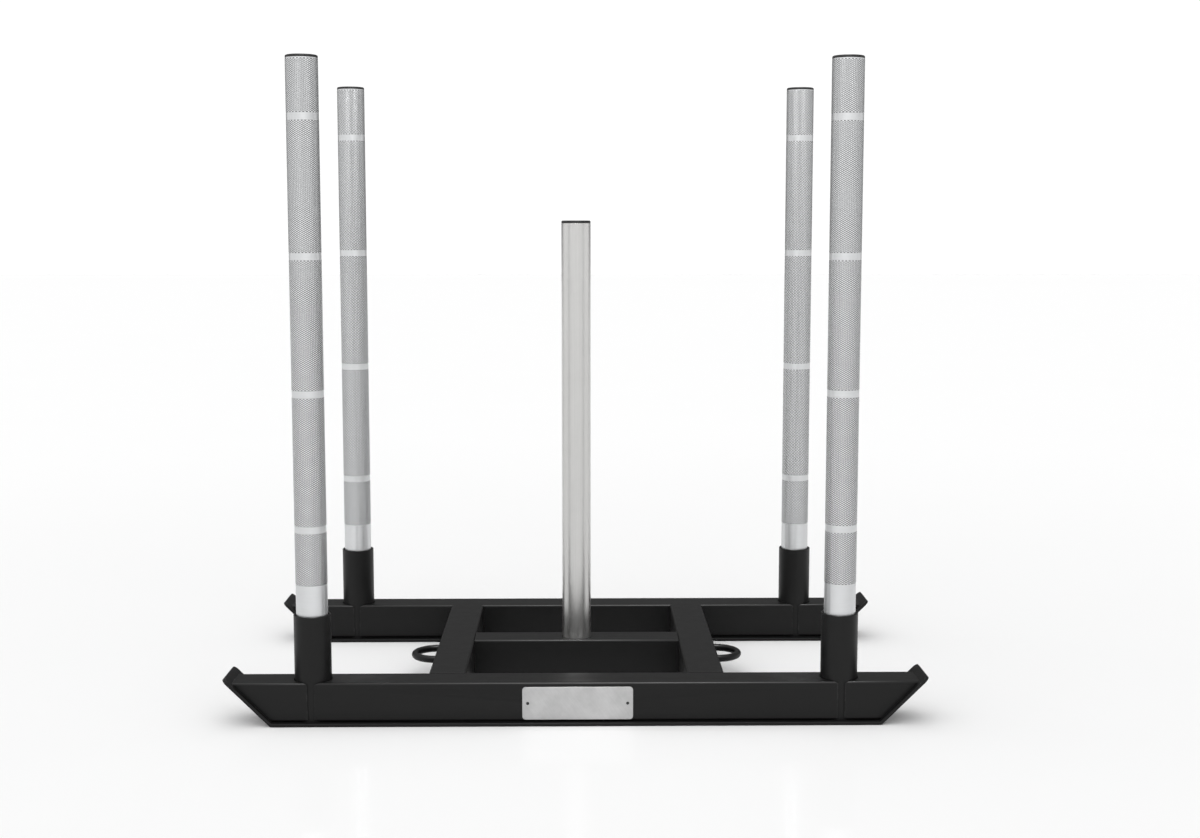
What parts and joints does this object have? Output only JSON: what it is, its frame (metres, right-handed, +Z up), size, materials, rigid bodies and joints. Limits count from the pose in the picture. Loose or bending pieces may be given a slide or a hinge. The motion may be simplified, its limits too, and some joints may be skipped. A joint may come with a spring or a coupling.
{
  "type": "push sled",
  "caption": "Weight-training push sled: steel runners on upturned skid plates, cross members with tow loops, a central plate post and lift-out knurled grip posts in sockets.",
  "frame": {"origin": "on the ground, under the middle of the sled", "axes": "+X forwards along the runners, +Y to the left across the sled, +Z up"},
  "size_m": [1.0764, 0.6106, 1.008],
  "materials": {
    "frame_black": "satin black powder coat on welded steel",
    "plate_post_steel": "bright turned steel tube with a soft sheen",
    "grip_post_steel": "satin hard chrome on steel tube, diamond knurled between smooth rings",
    "name_plate_steel": "bare brushed steel with light scratches",
    "rivet_black": "black drive rivet",
    "zinc_steel": "zinc plated",
    "cap_plastic": "black moulded plastic"
  },
  "bodies": {
    "frame": {"skid_plate_right": "frame_black", "skid_plate_left": "frame_black", "runner_right_rear_nose": "frame_black", "runner_right_centre": "frame_black", "runner_right_front_nose": "frame_black", "runner_left_rear_nose": "frame_black", "runner_left_centre": "frame_black", "runner_left_front_nose": "frame_black", "post_socket_front_right": "frame_black", "post_socket_front_left": "frame_black", "post_socket_rear_right": "frame_black", "post_socket_rear_left": "frame_black", "cross_member_front": "frame_black", "cross_member_rear": "frame_black", "centre_beam": "frame_black", "tow_loop_front": "frame_black", "tow_loop_rear": "frame_black", "plate_post": "plate_post_steel", "plate_post_cap": "cap_plastic", "plate_post_foot": "zinc_steel", "plate_post_screw": "zinc_steel", "name_plate": "name_plate_steel", "name_plate_rivet_front": "rivet_black", "name_plate_rivet_rear": "rivet_black"},
    "post_front_right": {"grip_post_front_right": "grip_post_steel", "grip_post_cap_front_right": "cap_plastic"},
    "post_front_left": {"grip_post_front_left": "grip_post_steel", "grip_post_cap_front_left": "cap_plastic"},
    "post_rear_right": {"grip_post_rear_right": "grip_post_steel", "grip_post_cap_rear_right": "cap_plastic"},
    "post_rear_left": {"grip_post_rear_left": "grip_post_steel", "grip_post_cap_rear_left": "cap_plastic"}
  },
  "joints": [
    {"name": "lift_post_front_right", "type": "slide", "parent": "frame", "child": "post_front_right", "axis": [0, 0, 1], "range_m": [0, 0.17]},
    {"name": "lift_post_front_left", "type": "slide", "parent": "frame", "child": "post_front_left", "axis": [0, 0, 1], "range_m": [0, 0.17]},
    {"name": "lift_post_rear_right", "type": "slide", "parent": "frame", "child": "post_rear_right", "axis": [0, 0, 1], "range_m": [0, 0.17]},
    {"name": "lift_post_rear_left", "type": "slide", "parent": "frame", "child": "post_rear_left", "axis": [0, 0, 1], "range_m": [0, 0.17]}
  ]
}
